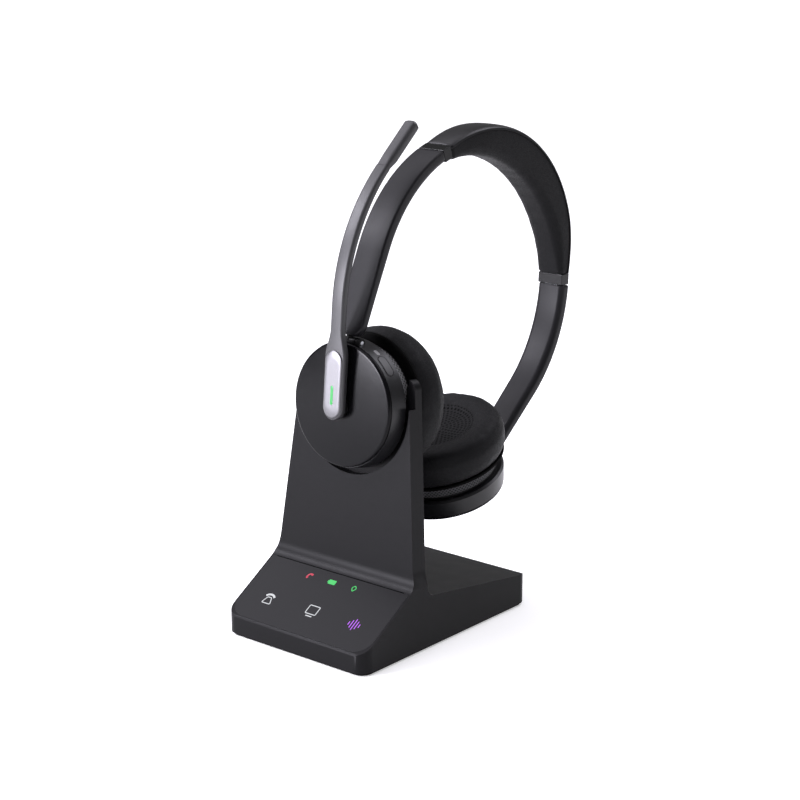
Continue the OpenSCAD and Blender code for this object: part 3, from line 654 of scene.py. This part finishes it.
def cushion_mesh():
    """The cover, puffed out by a short cloth run and then wrinkled a little at seam and base.

    The cloth is worked out at ten times its size, where Blender's solver is steadier.
    """
    line = open_rounded(CUSHION_LINE, 6)
    dense = [line[0]]
    for a, b in zip(line, line[1:]):
        steps = max(1, round(math.dist(a, b) / 1.4))
        dense += [tuple(a[j] + (b[j] - a[j]) * i / steps for j in (0, 1))
                  for i in range(1, steps + 1)]
    dense[-1] = (0, dense[-1][1])
    grow = 10
    bm = revolve(Matrix.Scale(grow * MM, 4), dense, closed=False, segments=120)
    mesh = bpy.data.meshes.new("cushion_skin")
    bmesh.ops.recalc_face_normals(bm, faces=bm.faces)
    bm.to_mesh(mesh)
    bm.free()
    obj = bpy.data.objects.new("cushion_form", mesh)
    SCENE.collection.objects.link(obj)
    bpy.context.view_layer.objects.active = obj
    remesh = obj.modifiers.new("voxels", "REMESH")
    remesh.mode = "VOXEL"
    remesh.voxel_size = 1.3 * grow * MM
    bpy.ops.object.modifier_apply(modifier="voxels")
    mesh = obj.data
    rest = [v.co / (grow * MM) for v in mesh.vertices]
    held = obj.vertex_groups.new(name="held")
    for v, p in zip(mesh.vertices, rest):
        r = math.hypot(p.x, p.z)
        seam = bump_at(r, SEAM_R, 0.9) if p.y > CUSHION_TOP - 6 else 0
        fixed = 1.0 if p.y < RING_A + 1.6 else 0.0
        centre = max(0.0, min(1.0, (17 - r) / 3)) if p.y > RING_A + 6 else 0.0
        held.add([v.index], max(fixed, 0.9 * seam, centre), "REPLACE")
    cloth = obj.modifiers.new("cloth", "CLOTH")
    settings = cloth.settings
    settings.quality = 6
    settings.mass = 0.2
    settings.use_pressure = True
    settings.uniform_pressure_force = 4
    settings.vertex_group_mass = "held"
    settings.pin_stiffness = 1
    settings.tension_stiffness = settings.compression_stiffness = 25
    settings.bending_stiffness = 2
    settings.effector_weights.gravity = 0
    cloth.collision_settings.use_self_collision = False
    cloth.point_cache.frame_start, cloth.point_cache.frame_end = 1, CLOTH_STEPS
    for step in range(1, CLOTH_STEPS + 1):
        SCENE.frame_set(step)
    bpy.ops.object.modifier_apply(modifier="cloth")
    SCENE.frame_set(1)
    chance = random.Random(7)
    waves = [(chance.uniform(0, 2 * math.pi), chance.randint(9, 40), chance.uniform(0.3, 1))
             for _ in range(14)]
    moved = []
    for v, p in zip(obj.data.vertices, rest):
        q = v.co / (grow * MM)
        step = q - p
        if step.length > PUFF:
            step *= PUFF / step.length
        q = p + step
        r = math.hypot(p.x, p.z)
        t = math.atan2(p.x, p.z)
        wrinkle = sum(a * math.sin(n * t + s) for s, n, a in waves) / 3
        near_seam = bump_at(r, SEAM_R, 2.2) if p.y > CUSHION_TOP - 7 else 0.0
        side = bump_at(p.y - RING_A, 2.5, 2.5) if r > 27 else 0.0
        q.y += 0.16 * wrinkle * near_seam
        push = 0.14 * wrinkle * side
        q.x += push * math.sin(t)
        q.z += push * math.cos(t)
        moved.append(q)
    for v, q in zip(obj.data.vertices, moved):
        v.co = q
    obj.vertex_groups.clear()
    sub = obj.modifiers.new("smooth", "SUBSURF")
    sub.levels = sub.render_levels = 1
    bpy.ops.object.select_all(action="DESELECT")
    obj.select_set(True)
    bpy.ops.object.modifier_apply(modifier="smooth")
    mesh = obj.data.copy()
    bpy.data.objects.remove(obj)
    layer = mesh.uv_layers.new(name="face") if not mesh.uv_layers else mesh.uv_layers[0]
    for loop in mesh.loops:
        co = mesh.vertices[loop.vertex_index].co
        layer.data[loop.index].uv = (co.x, co.z)
    return mesh


def cushion(name, mesh, frame_matrix, body, cad):
    """One ear cushion, from its own copy of the cover."""
    mesh = mesh.copy()
    mesh.transform(frame_matrix)
    mesh.materials.append(LEATHER)
    for face in mesh.polygons:
        face.use_smooth = True
    obj = bpy.data.objects.new(name, mesh)
    SCENE.collection.objects.link(obj)
    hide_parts(cad)
    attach(obj, body)


def plate_corners(x0, y0, x1, y1, r):
    """Corners of a rounded rectangle, for rounded()."""
    return [(x0, y0, r), (x1, y0, r), (x1, y1, r), (x0, y1, r)]


def rim_mark():
    """The small pale mark on the near rim, above the call key."""
    turned = NEAR_CUP @ Matrix.Rotation(math.radians(29.5), 4, "Y")
    bm = bmesh.new()
    rows = []
    for inset, lift in ((0, -0.2), (0, 0.05), (0.08, 0.09)):
        outline = rounded(
            plate_corners(-1.6 + inset, 4.7 + inset, 1.6 - inset, 6.3 - inset, 0.7), 5)
        rows.append([bm.verts.new(turned @ Vector((x, y, rim_height(x, y) + lift)))
                     for x, y in outline])
    for a, b in zip(rows, rows[1:]):
        for k in range(len(a)):
            m = (k + 1) % len(a)
            bm.faces.new((a[k], a[m], b[m], b[k]))
    bm.faces.new(rows[0])
    bm.faces.new(rows[-1])
    piece("rim_mark", bm, "near_cup", PALE)


def rim_height(x, y):
    """Height of the rim's cone above the cup's axis, across and along it."""
    outer_r, inner_r, start, length = 27.08, 28.3, 1.6, 7.5
    r = outer_r + (inner_r - outer_r) * (y - start) / length
    return math.sqrt(r * r - x * x)


def make_cups():
    """Both headphone cups with their keys, hinges and cushions."""
    disc("near_face", NEAR_CUP, "near_cup", "near_face_cover", HUB_HOLE)
    disc("far_face", FAR_CUP, "far_cup", "far_face_cover", 0)
    # The near band wears the mesh copy whose threads are painted lighter, as painted light.
    mesh_band("near_mesh", NEAR_CUP, "near_cup", "near_vent_mesh", MESH)
    mesh_band("far_mesh", FAR_CUP, "far_cup", "far_vent_mesh", MESH_DARK)
    for side in ("near", "far"):
        from_cad(side + "_rim_housing", side + "_rim", RIM, 0.3)
        from_cad(side + "_neck_ring", side + "_neck", DARK, 0.12, 2)
        # The baffle ring wears the near-black painted shade.
        from_cad(side + "_baffle_ring", side + "_baffle", BAFFLE_SHADE, 0.2, 2)
        from_cad(side + "_hinge_bracket", side + "_lugs", DARK, 0.3)
        from_cad(side + "_hinge_pin", side + "_pin", PIN_STEEL, 0.15, 2)
        from_cad(side + "_yoke", side + "_knuckle", DARK, 0.2)
    from_cad("call_button", "call_key", RIM, 0.3)
    from_cad("volume_rocker", "volume_key", RIM, 0.3)
    rim_mark()
    skin = cushion_mesh()
    cushion("near_pad", skin, NEAR_CUP, "near_cup", "near_cushion")
    cushion("far_pad", skin, FAR_CUP, "far_cup", "far_cushion")


# ---- Arms and headband, in the band's frame ----

ARM_W, ARM_T = 14.6, 5.8
ARM_TOP = 58  # the arm's upper end, degrees from the crown
END_LEN, END_R = 37.8, 5  # the arm's straight, and the corners of its lower end
CROWN_R, CROWN_K = 66.4, 11.6  # outline of the cover: radius, and its centre above the band's
SKIN_T, COVER_T = 2.2, 6.4  # down from that outline to the skin's edge and the frame's underside
COVER_END = 53.5  # ends of the cover and its sleeve, degrees from the crown
PAD_R, PAD_K = 74.8, -14.8  # underside of the pad: radius, and its centre above the band's
BAND_W = 17


def band_point(x, turn, r, side=-1):
    """A point at an angle from the crown; side -1 is the near side."""
    t = math.radians(turn)
    return BAND @ Vector((x, side * r * math.sin(t), r * math.cos(t)))


def arm_point(x, q, s, side):
    """A point of the arm: s in millimetres along its centre line from the arm's top, q outwards."""
    arc = math.radians(ARC_END - ARM_TOP) * BAND_R
    if s <= arc:
        return band_point(x, ARM_TOP + math.degrees(s / BAND_R), BAND_R + q, side)
    t = math.radians(ARC_END)
    out, along = Vector((0, math.sin(t), math.cos(t))), Vector((0, math.cos(t), -math.sin(t)))
    p = out * (BAND_R + q) + along * (s - arc)
    return BAND @ Vector((x, side * p.y, p.z))


def arm(name, side, body, cad):
    """The arm's shell: crisp outer edges, heavily rounded inner ones, and a rounded lower end."""
    arc = math.radians(ARC_END - ARM_TOP) * BAND_R
    total = arc + END_LEN
    marks = [0, 0.12, 0.35]
    marks += [arc * i / 44 for i in range(1, 45)]
    marks += [arc + (END_LEN - END_R) * i / 20 for i in range(1, 21)]
    marks += [total - END_R + END_R * math.sin(math.radians(a)) for a in range(6, 91, 6)]
    stations = []
    for s in marks:
        left = total - s
        half_w = ARM_W / 2
        if left < END_R:
            half_w += math.sqrt(max(0, END_R ** 2 - (END_R - left) ** 2)) - END_R
        shrink = max(0, 0.35 - s) + max(0, 0.5 - left) * 0.8
        half_w -= shrink
        taper = max(0, min(1, (s - arc) / END_LEN))
        top = ARM_T / 2 - 0.4 * taper - shrink
        low = -ARM_T / 2 + 0.8 * taper + shrink
        inner = min(2.6, half_w * 0.9, (top - low) * 0.5)
        outline = rounded([(-half_w, low, inner), (half_w, low, inner),
                           (half_w, top, 0.9), (-half_w, top, 0.9)], 7)
        stations.append([arm_point(x, q, s, side) for x, q in outline])
    piece(name, sweep(stations), body, ARM, (cad,), sharp=SOFT_EDGE)


def crown_radius(turn, r, k):
    """Where the ray at an angle from the band's centre meets a circle of radius r whose centre
    is k above it."""
    t = math.radians(turn)
    return k * math.cos(t) + math.sqrt(r ** 2 - (k * math.sin(t)) ** 2)


def band_half(turn):
    """Half the band's width; it narrows to the arms' width at its ends."""
    return BAND_W / 2 - 1.0 * smooth_step(abs(turn), 30, COVER_END)


def smooth_step(x, low, high):
    """0 below low, 1 above high, and an even S between."""
    t = max(0, min(1, (x - low) / (high - low)))
    return t * t * (3 - 2 * t)


def band_cover():
    """The satin outer skin of the centre band, domed across as a superellipse."""
    power = 2 / 2.8
    stations = []
    ends = [-COVER_END, -COVER_END + 0.15, -COVER_END + 0.4]
    middle = [-52.5 + 105 * i / 120 for i in range(121)]
    for turn in ends + middle + [-e for e in reversed(ends)]:
        shrink = max(0, 0.4 - (COVER_END - abs(turn)))
        base = crown_radius(turn, CROWN_R - SKIN_T, CROWN_K)
        rise = crown_radius(turn, CROWN_R, CROWN_K) - base - shrink
        ring = []
        for i in range(33):
            a = math.pi * i / 32
            x = math.copysign(abs(math.cos(a)) ** power, math.cos(a))
            ring.append(((band_half(turn) - shrink) * x, base + rise * math.sin(a) ** power))
        side = band_half(turn) - 1 - shrink
        ring += [(-side, base), (0, base), (side, base)]
        stations.append([band_point(x, turn, r) for x, r in ring])
    piece("band_skin", sweep(stations), "band", BAND_SKIN, ("band_cover",),
          sharp=SOFT_EDGE)


def band_pad():
    """The soft sleeve under the cover: it wraps the frame and swells to the pad at the crown."""
    chance = random.Random(11)
    waves = [(chance.uniform(0, 6.28), chance.uniform(0.25, 1.1), chance.uniform(0.3, 1))
             for _ in range(8)]
    stations = []
    count, end = 120, COVER_END - 0.2
    for i in range(count + 1):
        turn = -end + 2 * end * i / count
        top = crown_radius(turn, CROWN_R - SKIN_T, CROWN_K)
        plain = crown_radius(turn, CROWN_R - COVER_T, CROWN_K)
        low = min(plain - 0.3, crown_radius(turn, PAD_R, PAD_K))
        deep = top - low
        tight = 0.5 * max(0, 1 - (end - abs(turn)) / 0.5)
        soft = min(4.4, deep * 0.42)
        half = band_half(turn) - 0.45 - tight
        wrinkle = sum(a * math.sin(s + w * turn) for s, w, a in waves)
        under = low + wrinkle * 0.025 * min(1, deep / 10) + tight
        outline = rounded([(-half, under, soft), (half, under, soft),
                           (half, top - tight, 0.3), (-half, top - tight, 0.3)], 8)
        ring = []
        for x, r in outline:
            height = max(0, min(1, (r - low) / deep))
            bulge = 0.35 * math.sin(math.pi * height ** 1.3) * smooth_step(deep, 5, 12)
            ring.append(band_point(x + math.copysign(bulge, x), turn, r))
        stations.append(ring)
    obj = piece("crown_pad", sweep(stations), "band", PAD_SKIN,
                ("band_pad", "band_frame"), sharp=60)


def make_band():
    """The arms with their linings and strips, the centre band and its collars."""
    arm("near_arm_skin", -1, "near_arm", "near_arm_shell")
    arm("far_arm_skin", 1, "far_arm", "far_arm_shell")
    for side in ("near", "far"):
        from_cad(side + "_arm_cover", side + "_arm_lining", ARM_INNER, 0.15, 2)
        from_cad(side + "_slider_strip", side + "_strip", STEEL, 0.15, 2)
    band_cover()
    band_pad()
    from_cad("band_collars", "collars", GLOSS, 0.25)


# ---- Boom, in the near cup's frame ----

BOOM_A = -4.2  # the boom's centre line, along the cup's axis
BOOM_W, BOOM_T = 6.8, 3.2
BOOM_ROOT = 42  # length of its straight part, from the pivot
BOOM_R, BOOM_BEND = 83.6, 44  # its bend towards the mouth: radius and degrees
BOOM_ARC = math.radians(BOOM_BEND) * BOOM_R
BOOM_END = BOOM_ROOT + BOOM_ARC
PIVOT_R, PIVOT_HALF = 5.5, 5.6  # its round lower end, and half its width above that
TIP_LEN = 25.6


def boom_ring(along, half_w, half_t, radius, drop=0.0):
    """A rounded section of the boom at a distance up its centre line from the cup's axis."""
    outline = rounded(plate_corners(-half_w, -half_t, half_w, half_t, radius), 5)
    bend = max(0, min(along - BOOM_ROOT, BOOM_ARC)) / BOOM_R
    centre = Vector((0, BOOM_A + BOOM_R * (1 - math.cos(bend)),
                     min(along, BOOM_ROOT) + BOOM_R * math.sin(bend)))
    up = Vector((0, math.sin(bend), math.cos(bend)))
    out = Vector((0, -math.cos(bend), math.sin(bend)))
    centre += up * max(0, along - BOOM_ROOT - BOOM_ARC) - out * drop
    return [NEAR_CUP @ (centre + Vector((x, 0, 0)) + out * q) for x, q in outline]


def pill(name, material, cad, half_w, bottom, top, layers):
    """A long rounded plate up the boom, through (inset, place along the cup's axis) layers."""
    count = 64 if half_w > 1 else 32
    stations = []
    for inset, a in layers:
        half = half_w - inset
        ring = []
        for k in range(count):
            t = 2 * math.pi * k / count
            z = half * math.cos(t) + (top if math.cos(t) >= 0 else bottom)
            ring.append(NEAR_CUP @ Vector((half * math.sin(t), a, z)))
        stations.append(ring)
    piece(name, sweep(stations), "boom", material, (cad,), sharp=SOFT_EDGE)


def make_boom():
    """The flat stalk, the mouthpiece at its end, the silver plate and the lamp in it."""
    round_from = -0.3
    marks = [round_from - PIVOT_R * math.cos(math.radians(a)) for a in range(9, 91, 9)]
    marks += [*range(2, 21, 6), *range(22, 32), *range(33, 43, 3)]
    marks += [BOOM_ROOT + BOOM_ARC * i / 40 for i in range(1, 41)]
    stations = []
    for s in marks:
        half_w = PIVOT_HALF + (BOOM_W / 2 - PIVOT_HALF) * smooth_step(s, 21, 33)
        half_w -= 0.3 * smooth_step(s, 70, BOOM_END)
        if s < round_from:
            half_w = 0.1 + math.sqrt(max(0.04, PIVOT_R ** 2 - (s - round_from) ** 2))
        half_t = BOOM_T / 2 + 0.15 * smooth_step(s, 30, 60)
        stations.append(boom_ring(s, half_w, half_t, 1.1))
    piece("boom_stalk", sweep(stations), "boom", BOOM_GREY, ("boom_arm",),
          sharp=SOFT_EDGE)

    stations = []
    for i in range(31):
        f = i / 30
        s = BOOM_END + 0.15 + TIP_LEN * f
        grow = smooth_step(f, 0, 0.25)
        shrink = max(0, f - 0.95) / 0.05
        close = 1 - 0.25 * shrink ** 2.4
        half_w = (3.0 + 0.25 * grow) * close
        half_t = (1.75 + 0.75 * grow) * close
        stations.append(boom_ring(s, half_w, half_t, min(half_w, half_t) * 0.72, 0.35 * grow))
    piece("boom_mouth", sweep(stations), "boom", BOOM_GREY, ("boom_tip",),
          sharp=SOFT_EDGE)

    front = BOOM_A - BOOM_T / 2
    pill("boom_plate", SILVER, "boom_cap", 4.6, -0.2, 19.4,
         ((0, front + 0.5), (0, -6.0), (0.14, -6.22), (0.5, -6.36)))
    pill("boom_light", GREEN_LIT, "boom_lamp", 0.7, 1.5, 8.3,
         ((0, -6.2), (0, -6.4), (0.1, -6.46)))


# ---- Stand ----

PANEL_FOOT = Vector((0, -57.2, 9.4))
PANEL_SLOPE = 32.1
PANEL = (Matrix.Scale(MM, 4) @ Matrix.Translation(PANEL_FOOT)
         @ Matrix.Rotation(math.radians(PANEL_SLOPE), 4, "X"))
PANEL_HALF, PANEL_START, PANEL_END = 39.3, 1.1, 35.4  # across, and up the slope
SHEET_Z, ICON_Z = 0.07, 0.12  # tops of the black sheet and of the signs, above the panel


def slab(bm, outline, z0, z1):
    """Adds a flat slab on the panel from an (x, up the slope) outline between two heights."""
    low = [bm.verts.new(PANEL @ Vector((x, y, z0))) for x, y in outline]
    high = [bm.verts.new(PANEL @ Vector((x, y, z1))) for x, y in outline]
    bm.faces.new(list(reversed(low)))
    bm.faces.new(high)
    for k in range(len(low)):
        m = (k + 1) % len(low)
        bm.faces.new((low[k], low[m], high[m], high[k]))


def stroke(bm, line, width, closed=False):
    """Adds a raised line of even width on the panel along (x, up the slope) points."""
    points = [Vector(p) for p in line]
    count = len(points)
    left, right = [], []
    for i, p in enumerate(points):
        before = points[i - 1] if closed or i else p
        after = points[(i + 1) % count] if closed or i < count - 1 else p
        a = (p - before).normalized() if (p - before).length else (after - p).normalized()
        b = (after - p).normalized() if (after - p).length else a
        side = Vector((-(a + b).y, (a + b).x)).normalized()
        reach = width / 2 / max(0.4, side.dot(Vector((-a.y, a.x))))
        left.append(p + side * reach)
        right.append(p - side * reach)
    rows = [[bm.verts.new(PANEL @ Vector((q.x, q.y, z))) for q in edge]
            for edge, z in ((left, ICON_Z), (right, ICON_Z), (right, SHEET_Z), (left, SHEET_Z))]
    for i in range(count if closed else count - 1):
        m = (i + 1) % count
        for k in range(4):
            a, b = rows[k], rows[(k + 1) % 4]
            bm.faces.new((a[i], a[m], b[m], b[i]))
    if not closed:
        bm.faces.new([row[0] for row in rows])
        bm.faces.new([row[-1] for row in reversed(rows)])


def arc_line(x, y, r, start, end, n, squeeze=1.0):
    """Points of an arc between two angles in degrees, squeezed up and down."""
    turns = [math.radians(start + (end - start) * i / n) for i in range(n + 1)]
    return [(x + r * math.cos(t), y + squeeze * r * math.sin(t)) for t in turns]


def icon(name, material, centre, size, lines=(), fills=()):
    """A lit sign drawn round (0, 0) and scaled to its place on the panel."""
    bm = bmesh.new()

    def placed(line):
        return [(centre[0] + size * x, centre[1] + size * y) for x, y in line]

    for line, width, closed in lines:
        stroke(bm, placed(line), width, closed)
    for outline in fills:
        slab(bm, placed(outline), SHEET_Z, ICON_Z)
    piece(name, bm, "stand", material, ("indicator_lenses",))


def make_icons():
    """Generic lit signs: phone, screen and sound keys below; call, battery and link lamps above."""
    body = rounded([(-3, -3.2, 0.5), (3, -3.2, 0.5), (1.3, 0.9, 0.6), (-1.3, 0.9, 0.6)], 4)
    icon("icon_phone", WHITE_LIT, (-24.3, 13.3), 0.82,
         ((body, 0.42, True), (arc_line(0, -0.6, 3.6, 35, 145, 12, 0.95), 1.0, False)))
    glass = rounded(plate_corners(-3.4, -1.9, 3.4, 3.4, 0.6), 4)
    icon("icon_screen", WHITE_LIT, (0.7, 13.8), 0.84,
         ((glass, 0.42, True), ([(-2.0, -3.3), (2.0, -3.3)], 0.5, False)))
    bars = []
    for i, h in enumerate((1.0, 2.2, 3.1, 2.2, 1.0)):
        x = (i - 2) * 1.5
        bars.append(rounded(plate_corners(x - 0.2, -h, x + 0.2, h, 0.16), 3))
    icon("icon_sound", PURPLE_LIT, (24.6, 13.8), 0.95, (), bars)
    icon("icon_call", RED_LIT, (-13.2, 30.4), 0.72,
         ((arc_line(0.6, -0.6, 2.1, 70, 200, 12), 0.75, False),),
         (arc_line(1.3, 1.2, 0.8, 0, 330, 11), arc_line(-1.3, -1.4, 0.8, 0, 330, 11)))
    cell = rounded(plate_corners(-2.0, -1.3, 2.4, 1.3, 0.4), 4)
    nub = [(-2.5, -0.6), (-2.1, -0.6), (-2.1, 0.6), (-2.5, 0.6)]
    icon("icon_battery", GREEN_LIT, (-0.4, 30.5), 0.9, (), (cell, nub))
    drop = rounded([(0, -1.9, 0.4), (1.4, 0.2, 0.8), (0, 1.9, 0.7), (-1.4, 0.2, 0.8)], 5)
    icon("icon_link", GREEN_LIT, (12.2, 30.6), 0.85, ((drop, 0.4, True),))


def make_stand():
    """The casing, its feet, liner and sockets, and the lit panel."""
    from_cad("front_casing", "front_shell", CASING, 0.45)
    from_cad("rear_casing", "rear_shell", CASING, 0.45)
    from_cad("bottom_plate", "underside", DARK, 0.2, 2)
    from_cad("base_pad", "foot_pad", RUBBER, 0.2, 2)
    from_cad("cradle_liner", "cradle_lining", RUBBER, 0.2, 2)
    from_cad("rear_sockets", "sockets", STEEL, 0.1, 2)
    bm = bmesh.new()
    outline = rounded([(-PANEL_HALF, PANEL_START, 8), (PANEL_HALF, PANEL_START, 8),
                       (PANEL_HALF, PANEL_END, 0.3), (-PANEL_HALF, PANEL_END, 0.3)], 10)
    slab(bm, outline, -0.02, SHEET_Z)
    sheet = piece("panel_sheet", bm, "stand", PANEL_BLACK, ("touch_panel",))
    bevel(sheet, 0.04, 2)
    make_icons()


# ---- Finish of the CAD pieces that stay as they are ----

PLAIN = {
    "ballast_plate": STEEL, "touch_board": BOARD, "main_board": BOARD, "ringer_speaker": DARK,
    "charging_pins": GOLD, "cradle_magnet": STEEL, "base_screws": STEEL,
    "near_speaker_driver": DARK, "far_speaker_driver": DARK, "headset_board": BOARD,
    "charging_pads": GOLD, "battery": CELL, "band_spring": STEEL, "boom_hub": DARK,
    "boom_microphone": DARK, "indicator_lenses": WHITE_LIT,
}


def main():
    make_camera()
    make_stage()
    for cad, material in PLAIN.items():
        data = frame["nodes"][cad].data
        data.materials.clear()
        data.materials.append(material)
    make_stand()
    make_cups()
    make_band()
    make_boom()


main()
